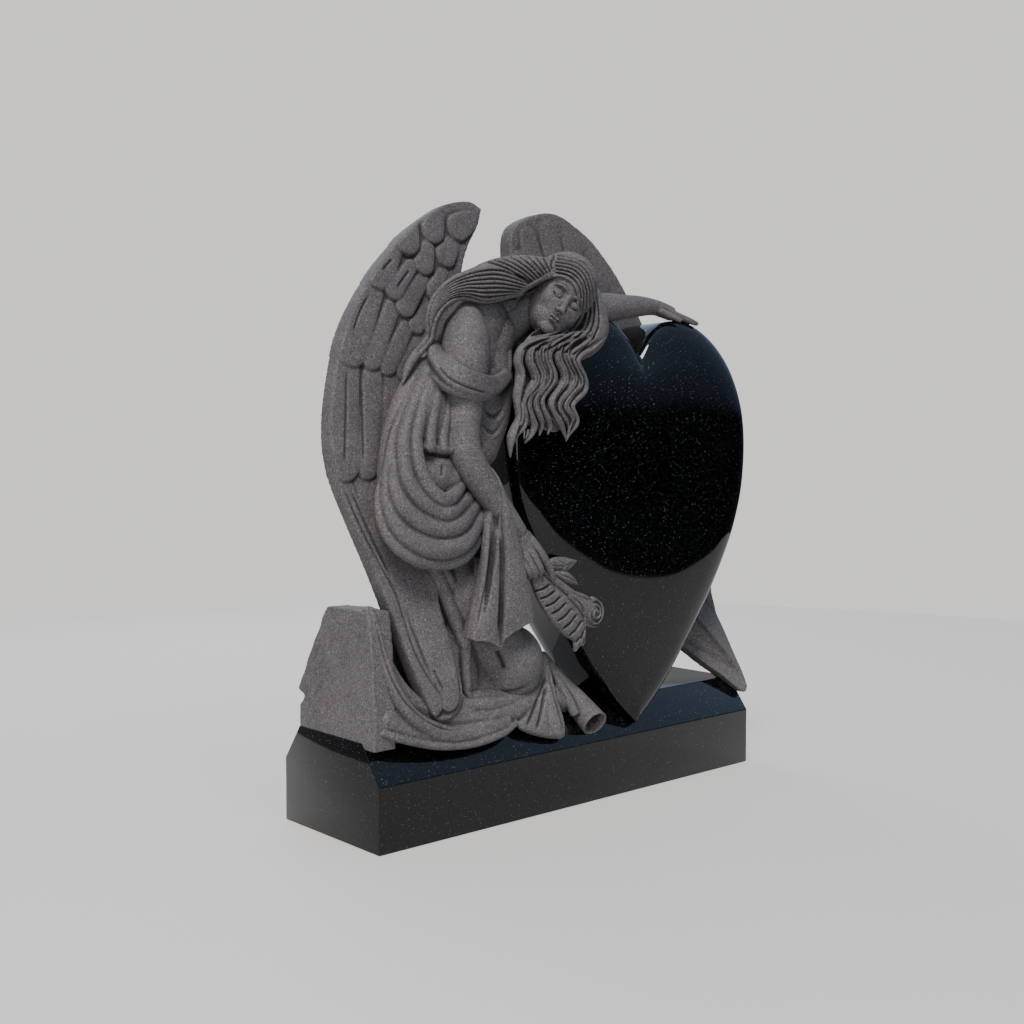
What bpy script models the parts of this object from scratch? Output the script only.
"""Heart headstone: a kneeling angel carved beside a large pillow-faced heart, on a bevelled plinth.

Metres, +Z up. The plinth is centred on the world origin, its underside at Z = 0 and its front
towards -Y. Two stones: the plinth, and the one block that holds angel, wings, rock, rose and heart.
"""
import math

import bmesh
import bpy
from mathutils import Vector

# Plinth
BASE_LENGTH = 1.000
BASE_DEPTH = 0.297
BASE_FACE_HEIGHT = 0.117
BEVEL_RUN = 0.050
BEVEL_RISE = 0.068
BASE_HEIGHT = BASE_FACE_HEIGHT + BEVEL_RISE
BED_GAP = 0.0003

# Heart: its tip is let in below the plinth's top, and its faces swell past its rim
HEART_AXIS_X = 0.137
HEART_RIM_Y = -0.162
HEART_TURN = math.radians(6.5)
HEART_SUNK = 0.051
HEART_HEIGHT = 0.821
HEART_HALF_WIDTH = 0.303
HEART_THICKNESS = 0.175
HEART_SWELL = 0.017

# Angel, wings and rock: heights above the plinth's top
CARVING_HEIGHT = 0.990
WING_THICKNESS = 0.036
ROCK_HEIGHT = 0.227
ROCK_END_WIDTH = 0.046

# Mesh fineness of the carved block
VOXEL = 0.0050
FIGURE_TRIANGLES = 7900

# The strokes of the carving are drawn at this bed and height, and then sized and seated
DRAWN_BED = 0.185
SCALE = CARVING_HEIGHT / 0.990


def smooth_path(points, steps):
    """Catmull-Rom curve through points of any dimension."""
    rows = [Vector(p[:3]) for p in points]
    extra = [p[3:] for p in points]
    last = len(points) - 1
    result = []
    for i in range(last):
        i0, i3 = max(i - 1, 0), min(i + 2, last)
        for k in range(steps):
            t = k / steps
            w0 = -0.5 * t + t * t - 0.5 * t ** 3
            w1 = 1 - 2.5 * t * t + 1.5 * t ** 3
            w2 = 0.5 * t + 2 * t * t - 1.5 * t ** 3
            w3 = -0.5 * t * t + 0.5 * t ** 3
            place = rows[i0] * w0 + rows[i] * w1 + rows[i + 1] * w2 + rows[i3] * w3
            size = [a + (b - a) * t for a, b in zip(extra[i], extra[i + 1])]
            result.append((place, size))
    result.append((rows[last], list(extra[last])))
    return result


def mesh_object(name, verts, faces):
    mesh = bpy.data.meshes.new(name)
    mesh.from_pydata(verts, [], faces)
    bm = bmesh.new()
    bm.from_mesh(mesh)
    bmesh.ops.recalc_face_normals(bm, faces=bm.faces)
    bm.to_mesh(mesh)
    bm.free()
    obj = bpy.data.objects.new(name, mesh)
    bpy.context.scene.collection.objects.link(obj)
    return obj


def sweep(points, face=(0, -1, 0), steps=4, around=14, boxy=1.0):
    """A closed round-ended body along points (x, y, z, half width[, half depth]).

    The depth axis follows `face`; boxy below 1 squares the section off.
    """
    path = smooth_path([p if len(p) > 4 else tuple(p) + (p[3],) for p in points], steps)
    places = [p for p, _ in path]
    first, end = places[0], places[-1]
    start_dir = (places[0] - places[1]).normalized()
    end_dir = (places[-1] - places[-2]).normalized()
    w0, w1 = path[0][1], path[-1][1]
    rings = []
    for cap in (0.15, 0.6, 0.9):
        off = math.sqrt(1 - cap * cap)
        rings.append((first + start_dir * min(w0) * off, [v * cap for v in w0]))
    rings += path
    for cap in (0.9, 0.6, 0.15):
        off = math.sqrt(1 - cap * cap)
        rings.append((end + end_dir * min(w1) * off, [v * cap for v in w1]))
    verts, faces = [], []
    count = len(rings)
    for i, (place, (wide, deep)) in enumerate(rings):
        ahead = rings[min(i + 1, count - 1)][0] - rings[max(i - 1, 0)][0]
        ahead.normalize()
        out = Vector(face) - ahead * ahead.dot(Vector(face))
        out.normalize()
        side = ahead.cross(out)
        for k in range(around):
            a = 2 * math.pi * k / around
            c, s = math.cos(a), math.sin(a)
            c = math.copysign(abs(c) ** boxy, c)
            s = math.copysign(abs(s) ** boxy, s)
            verts.append(place + side * wide * c + out * deep * s)
    for i in range(count - 1):
        for k in range(around):
            n = (k + 1) % around
            faces.append((i * around + k, i * around + n, (i + 1) * around + n, (i + 1) * around + k))
    faces.append(tuple(range(around)))
    faces.append(tuple((count - 1) * around + k for k in range(around)))
    return mesh_object("stroke", verts, faces)


def ball(centre, radii, up=(0, 0, 1), face=(0, -1, 0)):
    """An ellipsoid: radii along side, face and up."""
    bm = bmesh.new()
    bmesh.ops.create_uvsphere(bm, u_segments=24, v_segments=16, radius=1.0)
    up = Vector(up).normalized()
    out = Vector(face)
    out = (out - up * up.dot(out)).normalized()
    side = out.cross(up)
    for v in bm.verts:
        x, y, z = v.co
        v.co = Vector(centre) + side * x * radii[0] - out * y * radii[1] + up * z * radii[2]
    bmesh.ops.recalc_face_normals(bm, faces=bm.faces)
    mesh = bpy.data.meshes.new("ball")
    bm.to_mesh(mesh)
    bm.free()
    obj = bpy.data.objects.new("ball", mesh)
    bpy.context.scene.collection.objects.link(obj)
    return obj


def slab(outline, front_y, thickness, steps=3):
    """A plate whose outline is (x, z) points and whose front face lies at front_y(x, z)."""
    ring = smooth_path([(x, 0, z) for x, z in outline] + [(outline[0][0], 0, outline[0][1])], steps)
    ring = [p for p, _ in ring][:-1]
    count = len(ring)
    verts = [Vector((p.x, front_y(p.x, p.z), p.z)) for p in ring]
    verts += [Vector((p.x, front_y(p.x, p.z) + thickness, p.z)) for p in ring]
    faces = [tuple(range(count)), tuple(range(2 * count - 1, count - 1, -1))]
    for k in range(count):
        n = (k + 1) % count
        faces.append((k, n, count + n, count + k))
    return mesh_object("slab", verts, faces)


def prism(profile, x0, x1, grow=0.0):
    """A (y, z) profile drawn out along X."""
    verts = [(x0 - grow, y, z) for y, z in profile] + [(x1 + grow, y, z) for y, z in profile]
    count = len(profile)
    faces = [tuple(range(count)), tuple(range(2 * count - 1, count - 1, -1))]
    for k in range(count):
        n = (k + 1) % count
        faces.append((k, n, count + n, count + k))
    return mesh_object("prism", verts, faces)


def base_profile(gap=0.0):
    """Half-width and height pairs of the plinth's end, grown by gap along every face."""
    half = BASE_DEPTH / 2
    slope = math.atan2(BEVEL_RISE, BEVEL_RUN)
    rise_at_face = gap / math.cos(slope) - gap * math.tan(slope)
    run_at_top = gap * math.tan(slope / 2)
    right = [
        (half + gap, -gap),
        (half + gap, BASE_FACE_HEIGHT + rise_at_face),
        (half - BEVEL_RUN + run_at_top, BASE_HEIGHT + gap),
    ]
    return right + [(-y, z) for y, z in reversed(right)]


def join(objects, name):
    for obj in bpy.context.selected_objects:
        obj.select_set(False)
    for obj in objects:
        obj.select_set(True)
    bpy.context.view_layer.objects.active = objects[0]
    bpy.ops.object.join()
    objects[0].name = name
    objects[0].data.name = name
    return objects[0]


def apply(obj, kind, **values):
    """Adds one modifier to obj and applies it."""
    bpy.context.view_layer.objects.active = obj
    modifier = obj.modifiers.new(kind.title(), kind)
    for key, value in values.items():
        setattr(modifier, key, value)
    bpy.ops.object.modifier_apply(modifier=modifier.name)


def keep_largest(obj):
    """Drops any crumbs that the voxel skin leaves beside the main body."""
    bm = bmesh.new()
    bm.from_mesh(obj.data)
    unseen = set(bm.verts)
    islands = []
    while unseen:
        stack, island = [unseen.pop()], []
        while stack:
            vert = stack.pop()
            island.append(vert)
            for edge in vert.link_edges:
                other = edge.other_vert(vert)
                if other in unseen:
                    unseen.remove(other)
                    stack.append(other)
        islands.append(island)
    islands.sort(key=len)
    for island in islands[:-1]:
        bmesh.ops.delete(bm, geom=island, context="VERTS")
    bm.to_mesh(obj.data)
    bm.free()


def stone(name, colour, roughness):
    material = bpy.data.materials.new(name)
    material.use_nodes = True
    shader = material.node_tree.nodes["Principled BSDF"]
    shader.inputs["Base Color"].default_value = (*colour, 1.0)
    shader.inputs["Roughness"].default_value = roughness
    return material


def build_base():
    half = BASE_LENGTH / 2
    base = prism(base_profile(), -half, half)
    base.name = base.data.name = "base"
    base.data.materials.append(stone("polished_black_granite", (0.012, 0.011, 0.012), 0.08))
    return base


def heart_outline():
    """Right half from cleft to tip as shares of half width and of height, then both sides."""
    half = [
        (0.000, 0.910), (0.100, 0.955), (0.230, 0.989), (0.370, 1.000), (0.530, 0.989),
        (0.710, 0.948), (0.858, 0.887), (0.957, 0.811), (1.000, 0.732), (1.000, 0.641),
        (0.962, 0.549), (0.865, 0.446), (0.710, 0.336), (0.528, 0.233), (0.330, 0.129),
        (0.160, 0.056), (0.000, 0.000),
    ]
    tip = BASE_HEIGHT - HEART_SUNK
    points = [(u * HEART_HALF_WIDTH, 0, tip + v * HEART_HEIGHT) for u, v in half]
    right = [p for p, _ in smooth_path(points, 2)]
    return right + [Vector((-p.x, 0, p.z)) for p in reversed(right[1:-1])]


def build_heart():
    """Rings of the outline, shrunk towards the middle as they rise to the swollen faces."""
    ring = heart_outline()
    count = len(ring)
    middle = Vector((0, 0, BASE_HEIGHT - HEART_SUNK + 0.5676 * HEART_HEIGHT))
    along = Vector((math.cos(HEART_TURN), -math.sin(HEART_TURN), 0))
    back = Vector((math.sin(HEART_TURN), math.cos(HEART_TURN), 0))
    start = Vector((HEART_AXIS_X, HEART_RIM_Y, 0))
    section = [(0.30, 0.00), (0.62, 0.06), (0.84, 0.20), (0.94, 0.42), (0.985, 0.72), (1.0, 1.15)]
    rim = HEART_SWELL * 2.1
    levels = [(s, -HEART_SWELL + rim * d) for s, d in section]
    levels += [(s, HEART_THICKNESS + HEART_SWELL - rim * d) for s, d in reversed(section)]
    verts = []
    for share, depth in levels:
        for p in ring:
            q = middle + (p - middle) * share
            verts.append(start + along * q.x + back * depth + Vector((0, 0, q.z)))
    verts.append(start + back * -HEART_SWELL + middle)
    verts.append(start + back * (HEART_THICKNESS + HEART_SWELL) + middle)
    faces = []
    rows = len(levels)
    for i in range(rows - 1):
        for k in range(count):
            n = (k + 1) % count
            faces.append((i * count + k, i * count + n, (i + 1) * count + n, (i + 1) * count + k))
    for k in range(count):
        n = (k + 1) % count
        faces.append((n, k, rows * count))
        faces.append(((rows - 1) * count + k, (rows - 1) * count + n, rows * count + 1))
    return mesh_object("heart", verts, faces)


def left_wing_y(x, z):
    return -0.152 + 0.15 * z


def right_wing_y(x, z):
    """Against the heart's back above, swinging forward to the plinth's bevel below."""
    heart_back = (HEART_RIM_Y + HEART_THICKNESS - math.tan(HEART_TURN) * (x * SCALE - HEART_AXIS_X)) / SCALE
    return heart_back - 0.010 + 0.03 * (z - 0.9) - 0.42 * max(0.0, 0.335 - z)


def feather(root, tip, half, front_y, proud=0.011):
    """One tongue whose root is sunk in the wing and whose round tip stands proud."""
    (x0, z0), (x1, z1) = root, tip
    points = []
    for t, lift, wide in ((0.0, -0.3, 0.75), (0.35, 0.25, 0.95), (0.75, 0.75, 1.0), (0.93, 0.95, 0.85)):
        x, z = x0 + (x1 - x0) * t, z0 + (z1 - z0) * t
        points.append((x, front_y(x, z) - proud * lift + 0.009, z, half * wide, 0.011))
    return sweep(points, steps=2, around=12, boxy=0.75)


def build_left_wing():
    """The near wing, its feathers lapped like shingles over three long ones."""
    outline = [
        (-0.125, 1.162), (-0.150, 1.175), (-0.185, 1.174), (-0.229, 1.167), (-0.259, 1.155),
        (-0.331, 1.097), (-0.406, 1.026), (-0.469, 0.943), (-0.504, 0.870), (-0.533, 0.774),
        (-0.544, 0.690), (-0.543, 0.608), (-0.530, 0.552), (-0.508, 0.491), (-0.471, 0.412),
        (-0.431, 0.331), (-0.386, 0.248), (-0.367, 0.221), (-0.346, 0.209), (-0.318, 0.211),
        (-0.296, 0.225), (-0.285, 0.260), (-0.300, 0.344), (-0.325, 0.418), (-0.300, 0.520),
        (-0.270, 0.650), (-0.240, 0.780), (-0.225, 0.900), (-0.200, 0.992), (-0.188, 1.040),
        (-0.168, 1.083), (-0.139, 1.125),
    ]
    parts = [slab(outline, left_wing_y, WING_THICKNESS)]
    rows = [
        ((-0.258, 1.125), (-0.310, 1.060), 0.024), ((-0.219, 1.130), (-0.251, 1.084), 0.021),
        ((-0.158, 1.137), (-0.191, 1.098), 0.024), ((-0.232, 1.078), (-0.275, 1.023), 0.020),
        ((-0.174, 1.093), (-0.225, 1.037), 0.020), ((-0.345, 1.054), (-0.392, 0.982), 0.032),
        ((-0.308, 1.021), (-0.367, 0.962), 0.017), ((-0.277, 1.005), (-0.339, 0.931), 0.022),
        ((-0.260, 0.954), (-0.320, 0.902), 0.017), ((-0.424, 0.984), (-0.476, 0.846), 0.020),
        ((-0.401, 0.961), (-0.455, 0.843), 0.019), ((-0.368, 0.938), (-0.435, 0.830), 0.018),
        ((-0.338, 0.919), (-0.394, 0.823), 0.019), ((-0.304, 0.895), (-0.361, 0.837), 0.016),
        ((-0.495, 0.845), (-0.512, 0.644), 0.019), ((-0.457, 0.832), (-0.480, 0.640), 0.015),
        ((-0.426, 0.820), (-0.450, 0.643), 0.015), ((-0.386, 0.814), (-0.415, 0.636), 0.018),
    ]
    parts += [feather(root, tip, half, left_wing_y) for root, tip, half in rows]
    long_ones = [
        [(-0.505, 0.640, 0.024), (-0.482, 0.520, 0.028), (-0.430, 0.400, 0.028), (-0.358, 0.240, 0.020)],
        [(-0.450, 0.640, 0.026), (-0.425, 0.520, 0.034), (-0.375, 0.400, 0.036), (-0.316, 0.250, 0.022)],
    ]
    for line in long_ones:
        points = [(x, left_wing_y(x, z) + 0.003, z, half, 0.010) for x, z, half in line]
        parts.append(sweep(points, around=12, boxy=0.7))
    return parts


def build_right_wing():
    """The far wing, behind the heart, its tip showing past the heart's lower right."""
    outline = [
        (-0.043, 1.066), (-0.042, 1.118), (-0.020, 1.148), (0.036, 1.172), (0.079, 1.173),
        (0.115, 1.158), (0.160, 1.132), (0.196, 1.100), (0.228, 1.065), (0.258, 1.025),
        (0.293, 0.976), (0.340, 0.905), (0.385, 0.830), (0.425, 0.740), (0.458, 0.640),
        (0.478, 0.540), (0.488, 0.440), (0.495, 0.355), (0.508, 0.288), (0.514, 0.237),
        (0.523, 0.178), (0.518, 0.158), (0.500, 0.154), (0.460, 0.190), (0.415, 0.225),
        (0.340, 0.300), (0.270, 0.420), (0.180, 0.560), (0.060, 0.680), (-0.080, 0.720),
        (-0.170, 0.780), (-0.170, 0.860), (-0.120, 0.930), (-0.070, 0.990),
    ]
    parts = [slab(outline, right_wing_y, WING_THICKNESS)]
    rows = [
        ((0.035, 1.150), (0.045, 1.100), 0.025), ((0.085, 1.150), (0.097, 1.095), 0.024),
        ((0.130, 1.132), (0.148, 1.078), 0.023), ((0.175, 1.095), (0.195, 1.035), 0.023),
        ((0.060, 1.090), (0.070, 1.030), 0.026), ((0.112, 1.080), (0.128, 1.015), 0.026),
    ]
    parts += [feather(root, tip, half, right_wing_y, 0.008) for root, tip, half in rows]
    long_ones = [
        [(0.455, 0.560, 0.026), (0.462, 0.400, 0.028), (0.485, 0.270, 0.022), (0.508, 0.185, 0.012)],
        [(0.400, 0.540, 0.030), (0.410, 0.400, 0.034), (0.440, 0.285, 0.028), (0.484, 0.195, 0.012)],
    ]
    for line in long_ones:
        points = [(x, right_wing_y(x, z) + 0.003, z, half, 0.009) for x, z, half in line]
        parts.append(sweep(points, around=12, boxy=0.7))
    return parts


def build_figure():
    """Body, arms, neck and head, kneeling towards the heart."""
    torso = [
        (-0.208, -0.075, 0.930, 0.060, 0.050), (-0.223, -0.068, 0.884, 0.070, 0.060),
        (-0.248, -0.062, 0.800, 0.085, 0.070), (-0.280, -0.058, 0.707, 0.092, 0.070),
        (-0.301, -0.056, 0.625, 0.090, 0.075), (-0.300, -0.052, 0.551, 0.095, 0.080),
        (-0.277, -0.052, 0.476, 0.088, 0.080), (-0.236, -0.050, 0.399, 0.085, 0.078),
        (-0.200, -0.050, 0.319, 0.090, 0.072), (-0.180, -0.045, 0.240, 0.095, 0.070),
        (-0.175, -0.040, 0.190, 0.100, 0.070),
    ]
    thigh = [(-0.262, -0.060, 0.429, 0.068), (-0.209, -0.068, 0.351, 0.068), (-0.158, -0.078, 0.285, 0.064)]
    near_arm = [
        (-0.262, -0.100, 0.922, 0.034), (-0.271, -0.106, 0.896, 0.042), (-0.278, -0.112, 0.860, 0.044),
        (-0.284, -0.118, 0.814, 0.040), (-0.293, -0.124, 0.769, 0.034), (-0.300, -0.130, 0.724, 0.032),
        (-0.294, -0.135, 0.685, 0.032), (-0.268, -0.140, 0.640, 0.029), (-0.232, -0.145, 0.593, 0.025),
        (-0.195, -0.150, 0.550, 0.020), (-0.167, -0.152, 0.521, 0.017), (-0.144, -0.154, 0.498, 0.018),
        (-0.123, -0.156, 0.468, 0.014), (-0.106, -0.158, 0.447, 0.009),
    ]
    far_arm = [
        (-0.060, -0.100, 0.925, 0.022), (-0.010, -0.120, 0.942, 0.023), (0.030, -0.125, 0.961, 0.024),
        (0.060, -0.130, 0.971, 0.022), (0.112, -0.130, 0.977, 0.022), (0.165, -0.135, 0.978, 0.020),
        (0.217, -0.140, 0.976, 0.016), (0.252, -0.150, 0.966, 0.014), (0.278, -0.160, 0.958, 0.011),
        (0.293, -0.167, 0.953, 0.008),
    ]
    neck = [
        (-0.190, -0.095, 0.865, 0.040), (-0.176, -0.112, 0.905, 0.031), (-0.157, -0.130, 0.937, 0.028),
        (-0.120, -0.145, 0.965, 0.032),
    ]
    chest = [
        (-0.190, -0.085, 0.885, 0.040), (-0.186, -0.090, 0.818, 0.042), (-0.195, -0.090, 0.754, 0.044),
        (-0.212, -0.085, 0.690, 0.044),
    ]
    skirt = [
        (-0.335, -0.050, 0.560, 0.060, 0.070), (-0.290, -0.050, 0.450, 0.066, 0.072),
        (-0.240, -0.050, 0.340, 0.072, 0.072), (-0.215, -0.048, 0.250, 0.086, 0.074),
        (-0.210, -0.045, 0.200, 0.096, 0.074),
    ]
    head_up = (0.44, -0.39, 0.81)
    head_face = (-0.45, -0.83, -0.18)
    parts = [
        sweep(torso, around=20), sweep(thigh, around=16), sweep(near_arm), sweep(far_arm),
        sweep(neck), sweep(chest), sweep(skirt, around=20),
        ball((-0.080, -0.145, 0.980), (0.056, 0.062, 0.072), head_up, head_face),
        ball((-0.110, -0.170, 0.953), (0.045, 0.044, 0.058), head_up, head_face),
        ball((-0.127, -0.212, 0.950), (0.0070, 0.011, 0.014), head_up, head_face),
        ball((-0.149, -0.082, 0.284), (0.064, 0.060, 0.066)),
        ball((-0.355, -0.082, 0.600), (0.082, 0.062, 0.100)),
        ball((-0.165, -0.005, 0.840), (0.070, 0.062, 0.090)),
    ]
    return parts


def build_hair():
    """Cap of hair with locks swept back over the shoulder and a mass hanging in front."""
    head_up = (0.44, -0.39, 0.81)
    head_face = (-0.45, -0.83, -0.18)
    parts = [ball((-0.066, -0.130, 0.995), (0.066, 0.064, 0.067), head_up, head_face)]
    parts.append(sweep([(-0.120, -0.160, 0.895, 0.070, 0.014), (-0.128, -0.162, 0.830, 0.078, 0.013),
                        (-0.136, -0.162, 0.775, 0.072, 0.012), (-0.146, -0.164, 0.735, 0.054, 0.009)]))
    swept_back = [
        [(-0.072, -0.165, 1.040, 0.010), (-0.150, -0.158, 1.030, 0.015), (-0.212, -0.132, 1.010, 0.019),
         (-0.266, -0.110, 0.986, 0.020), (-0.297, -0.092, 0.955, 0.018), (-0.310, -0.080, 0.912, 0.015),
         (-0.338, -0.074, 0.868, 0.013), (-0.371, -0.075, 0.827, 0.010), (-0.397, -0.080, 0.801, 0.004)],
        [(-0.060, -0.180, 1.026, 0.009), (-0.130, -0.188, 1.018, 0.013), (-0.195, -0.170, 0.996, 0.016),
         (-0.250, -0.140, 0.975, 0.016), (-0.288, -0.115, 0.950, 0.013), (-0.306, -0.100, 0.915, 0.010)],
        [(-0.052, -0.190, 1.008, 0.009), (-0.118, -0.205, 1.000, 0.012), (-0.170, -0.192, 0.980, 0.015),
         (-0.215, -0.160, 0.958, 0.015), (-0.250, -0.130, 0.940, 0.012)],
    ]
    right_side = [
        [(-0.062, -0.175, 1.028, 0.010), (-0.018, -0.178, 0.998, 0.015), (-0.004, -0.180, 0.957, 0.017),
         (-0.022, -0.186, 0.915, 0.017), (-0.055, -0.186, 0.885, 0.015)],
        [(-0.055, -0.192, 1.005, 0.009), (-0.032, -0.200, 0.965, 0.012), (-0.045, -0.204, 0.925, 0.013),
         (-0.085, -0.200, 0.895, 0.013)],
    ]
    parts += [sweep(points, steps=3, around=10) for points in swept_back + right_side]
    tops = [(-0.205, 0.850), (-0.178, 0.872), (-0.150, 0.885), (-0.121, 0.890), (-0.094, 0.894),
            (-0.068, 0.892), (-0.044, 0.888)]
    ends = [(-0.214, 0.672), (-0.186, 0.705), (-0.156, 0.722), (-0.124, 0.720), (-0.094, 0.716),
            (-0.076, 0.700), (-0.058, 0.750)]
    for lock, ((x0, z0), (x1, z1)) in enumerate(zip(tops, ends)):
        points = []
        for k in range(9):
            t = k / 8
            sway = 0.008 * math.sin(4 * math.pi * t + 0.5)
            half = 0.0145 if t < 0.8 else 0.0145 - 0.050 * (t - 0.8)
            points.append((x0 + (x1 - x0) * t + sway, -0.172 - 0.003 * (lock % 2),
                           z0 + (z1 - z0) * t, half, half * 1.2))
        parts.append(sweep(points, steps=2, around=10))
    return parts


def build_clothes():
    """Arm band, hanging swags of the bodice, sleeve, and the robe spread over the plinth."""
    band = [
        (-0.316, -0.070, 0.878, 0.020, 0.014), (-0.334, -0.110, 0.846, 0.023, 0.014),
        (-0.325, -0.148, 0.814, 0.023, 0.014), (-0.288, -0.158, 0.799, 0.022, 0.014),
        (-0.240, -0.140, 0.803, 0.020, 0.014), (-0.182, -0.118, 0.815, 0.016, 0.012),
    ]
    swags = [
        [(-0.326, -0.075, 0.868, 0.009), (-0.394, -0.088, 0.762, 0.011), (-0.437, -0.098, 0.688, 0.012),
         (-0.453, -0.108, 0.620, 0.013), (-0.446, -0.118, 0.560, 0.015), (-0.417, -0.128, 0.518, 0.016),
         (-0.357, -0.135, 0.494, 0.016), (-0.302, -0.135, 0.503, 0.015), (-0.265, -0.130, 0.535, 0.012),
         (-0.244, -0.120, 0.576, 0.009)],
        [(-0.325, -0.085, 0.859, 0.008), (-0.390, -0.100, 0.758, 0.010), (-0.425, -0.112, 0.697, 0.012),
         (-0.441, -0.125, 0.636, 0.013), (-0.430, -0.135, 0.580, 0.015), (-0.402, -0.143, 0.544, 0.015),
         (-0.358, -0.148, 0.528, 0.015), (-0.312, -0.146, 0.540, 0.014), (-0.280, -0.140, 0.572, 0.011),
         (-0.262, -0.130, 0.606, 0.008)],
        [(-0.324, -0.095, 0.842, 0.008), (-0.372, -0.118, 0.758, 0.010), (-0.404, -0.130, 0.702, 0.011),
         (-0.420, -0.138, 0.650, 0.012), (-0.411, -0.147, 0.607, 0.013), (-0.386, -0.153, 0.577, 0.013),
         (-0.354, -0.156, 0.567, 0.013), (-0.322, -0.154, 0.580, 0.012), (-0.300, -0.148, 0.608, 0.009)],
        [(-0.324, -0.105, 0.824, 0.008), (-0.348, -0.125, 0.762, 0.009), (-0.374, -0.136, 0.709, 0.010),
         (-0.391, -0.144, 0.666, 0.011), (-0.386, -0.151, 0.632, 0.012), (-0.365, -0.156, 0.613, 0.012),
         (-0.340, -0.155, 0.617, 0.011), (-0.324, -0.150, 0.640, 0.009)],
    ]
    sleeve = [
        (-0.251, -0.150, 0.667, 0.008, 0.012), (-0.253, -0.150, 0.608, 0.018, 0.018),
        (-0.243, -0.148, 0.544, 0.030, 0.020), (-0.238, -0.144, 0.481, 0.040, 0.020),
        (-0.231, -0.138, 0.416, 0.048, 0.020), (-0.226, -0.134, 0.376, 0.050, 0.018),
    ]
    ridges = [
        [(-0.264, -0.160, 0.653, 0.008), (-0.272, -0.164, 0.591, 0.009), (-0.280, -0.165, 0.511, 0.012),
         (-0.281, -0.158, 0.430, 0.014), (-0.272, -0.150, 0.376, 0.014)],
        [(-0.250, -0.162, 0.635, 0.007), (-0.226, -0.168, 0.562, 0.011), (-0.213, -0.168, 0.490, 0.016),
         (-0.198, -0.160, 0.415, 0.019), (-0.184, -0.150, 0.386, 0.018)],
        [(-0.250, -0.160, 0.470, 0.008), (-0.245, -0.160, 0.410, 0.010), (-0.236, -0.156, 0.345, 0.007)],
        [(-0.378, -0.095, 0.470, 0.014), (-0.330, -0.104, 0.374, 0.015), (-0.298, -0.110, 0.300, 0.013),
         (-0.286, -0.112, 0.240, 0.012)],
        [(-0.337, -0.105, 0.476, 0.014), (-0.293, -0.108, 0.381, 0.014), (-0.270, -0.114, 0.307, 0.012),
         (-0.272, -0.116, 0.240, 0.010)],
    ]
    robe = [
        [(-0.480, -0.108, 0.400, 0.020), (-0.462, -0.112, 0.340, 0.026), (-0.445, -0.116, 0.274, 0.032),
         (-0.391, -0.118, 0.216, 0.034), (-0.300, -0.118, 0.192, 0.034), (-0.203, -0.116, 0.192, 0.031),
         (-0.127, -0.112, 0.205, 0.028)],
        [(-0.490, -0.118, 0.408, 0.010), (-0.478, -0.128, 0.339, 0.012), (-0.458, -0.136, 0.270, 0.014),
         (-0.414, -0.140, 0.216, 0.016), (-0.347, -0.142, 0.186, 0.016), (-0.270, -0.140, 0.182, 0.014)],
        [(-0.470, -0.120, 0.205, 0.018), (-0.400, -0.122, 0.192, 0.020), (-0.330, -0.124, 0.182, 0.022)],
        [(-0.080, -0.092, 0.280, 0.013), (-0.118, -0.110, 0.214, 0.022), (-0.152, -0.126, 0.180, 0.022)],
        [(-0.075, -0.092, 0.284, 0.012), (-0.082, -0.112, 0.219, 0.022), (-0.108, -0.130, 0.174, 0.026)],
        [(-0.070, -0.092, 0.288, 0.012), (-0.048, -0.112, 0.224, 0.018), (-0.046, -0.126, 0.172, 0.020)],
        [(-0.058, -0.086, 0.284, 0.016), (-0.006, -0.100, 0.218, 0.027), (0.042, -0.120, 0.160, 0.029)],
        [(-0.330, -0.100, 0.228, 0.020), (-0.276, -0.112, 0.234, 0.022), (-0.203, -0.112, 0.230, 0.020),
         (-0.131, -0.104, 0.234, 0.017)],
        [(-0.450, -0.050, 0.205, 0.034, 0.080), (-0.350, -0.050, 0.210, 0.044, 0.082),
         (-0.150, -0.048, 0.215, 0.055, 0.082), (-0.050, -0.054, 0.205, 0.042, 0.076),
         (0.010, -0.060, 0.195, 0.025, 0.060)],
    ]
    parts = [sweep(band, around=12)]
    parts += [sweep(points, steps=3, around=10) for points in swags + ridges + robe]
    parts.append(sweep(sleeve, around=16))
    parts.append(sweep([(-0.344, -0.116, 0.690, 0.024), (-0.344, -0.122, 0.640, 0.024)], around=12))
    return parts


def build_rose():
    """The rose held against the heart, with its leaves."""
    stem = [(-0.125, -0.156, 0.469, 0.008), (-0.087, -0.158, 0.440, 0.008), (-0.046, -0.156, 0.414, 0.010),
            (-0.010, -0.152, 0.394, 0.014)]
    big_leaf = [(-0.130, -0.143, 0.428, 0.010, 0.012), (-0.101, -0.146, 0.400, 0.022, 0.013),
                (-0.064, -0.146, 0.366, 0.029, 0.013), (-0.037, -0.148, 0.330, 0.022, 0.012),
                (-0.024, -0.150, 0.306, 0.008, 0.010)]
    upper = [[(-0.111, -0.146, 0.472, 0.006, 0.010), (-0.073, -0.144, 0.470, 0.014, 0.012),
              (-0.036, -0.142, 0.469, 0.005, 0.010)],
             [(-0.090, -0.146, 0.452, 0.008, 0.010), (-0.060, -0.144, 0.441, 0.014, 0.012),
              (-0.036, -0.142, 0.430, 0.005, 0.010)]]
    parts = [sweep(stem, around=10), sweep(big_leaf, around=12)]
    parts += [sweep(points, around=10) for points in upper]
    parts.append(ball((0.004, -0.152, 0.384), (0.023, 0.020, 0.023)))
    return parts


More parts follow.
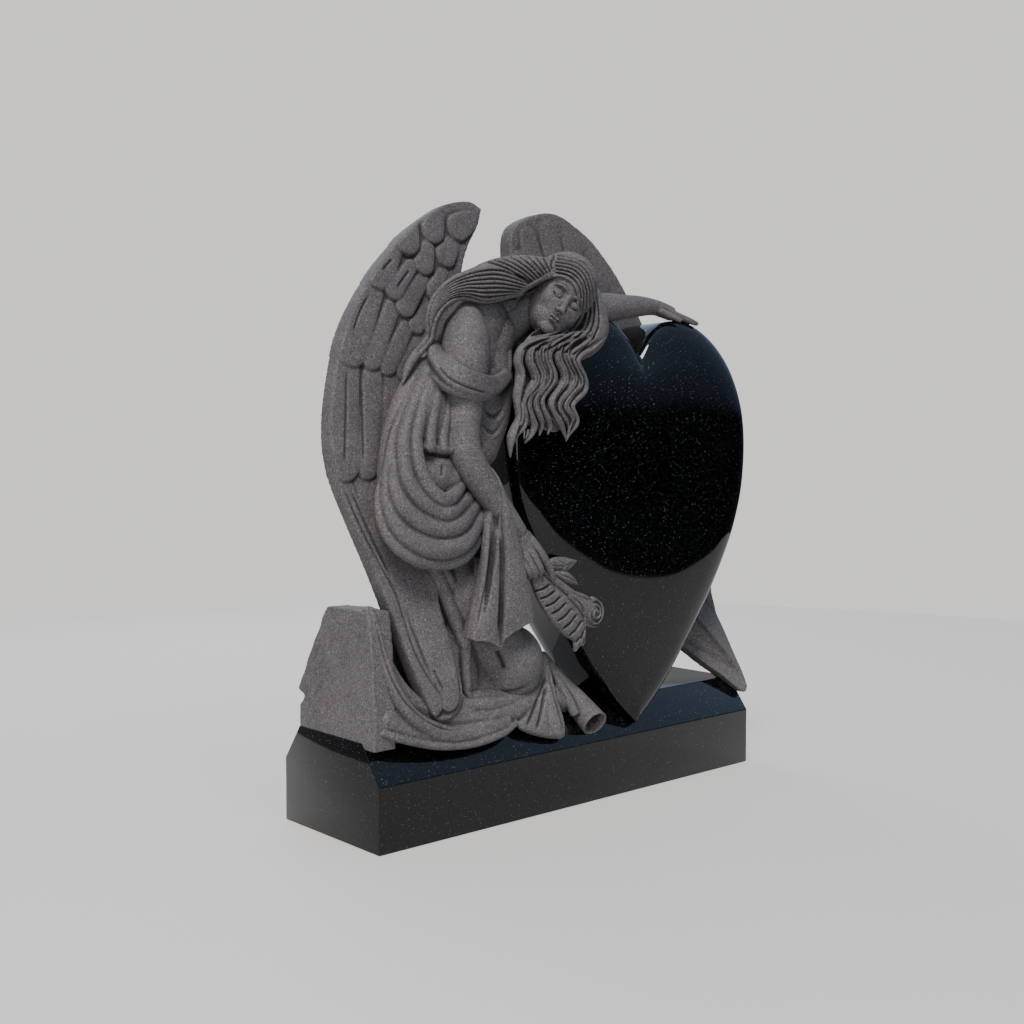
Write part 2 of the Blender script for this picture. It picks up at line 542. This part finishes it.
def build_rock():
    """The rough block at the left end, leaning back, its end face flush with the plinth's end."""
    top = DRAWN_BED + ROCK_HEIGHT / SCALE
    left = -BASE_LENGTH / 2 / SCALE
    back = [
        (0.098, 0.180), (0.102, 0.222), (0.086, 0.243), (0.106, 0.252), (0.066, 0.320),
        (0.024, top - 0.020), (0.008, top),
    ]
    front = [
        (-0.060, top + 0.002), (-0.118, top), (-0.128, 0.340), (-0.132, 0.260),
        (-0.140, 0.215), (-0.134, 0.180), (-0.100, 0.150), (0.095, 0.150),
    ]
    end = prism(back + front, left, left + ROCK_END_WIDTH / SCALE)
    behind = prism(back + [(-0.030, top), (-0.030, 0.150), (0.095, 0.150)], left + 0.020, -0.300)
    for vert in behind.data.vertices:
        if vert.co.x > -0.4 and vert.co.z > 0.3:
            vert.co.z -= 0.060
            vert.co.x -= 0.020
    return [end, behind]


def build_carving():
    strokes = build_left_wing() + build_right_wing() + build_figure() + build_hair()
    strokes += build_clothes() + build_rose() + build_rock()
    carving = join(strokes, "carved_angel_and_heart")
    for vert in carving.data.vertices:
        vert.co = vert.co * SCALE
        vert.co.z += BASE_HEIGHT - DRAWN_BED * SCALE
    apply(carving, "REMESH", mode="VOXEL", voxel_size=VOXEL, adaptivity=0.0)
    keep_largest(carving)
    apply(carving, "SMOOTH", factor=0.35, iterations=1)
    count = sum(len(face.vertices) - 2 for face in carving.data.polygons)
    apply(carving, "DECIMATE", ratio=FIGURE_TRIANGLES / count)

    heart = build_heart()
    apply(carving, "BOOLEAN", operation="UNION", solver="EXACT", object=heart)
    bpy.data.objects.remove(heart)

    bed = prism(base_profile(BED_GAP), -BASE_LENGTH / 2, BASE_LENGTH / 2, grow=0.1)
    apply(carving, "BOOLEAN", operation="DIFFERENCE", solver="EXACT", object=bed)
    bpy.data.objects.remove(bed)
    keep_largest(carving)
    carving.data.materials.clear()
    carving.data.materials.append(stone("carved_dark_granite", (0.085, 0.080, 0.083), 0.55))
    return carving


def main():
    for obj in list(bpy.data.objects):
        bpy.data.objects.remove(obj)
    build_base()
    build_carving()


main()
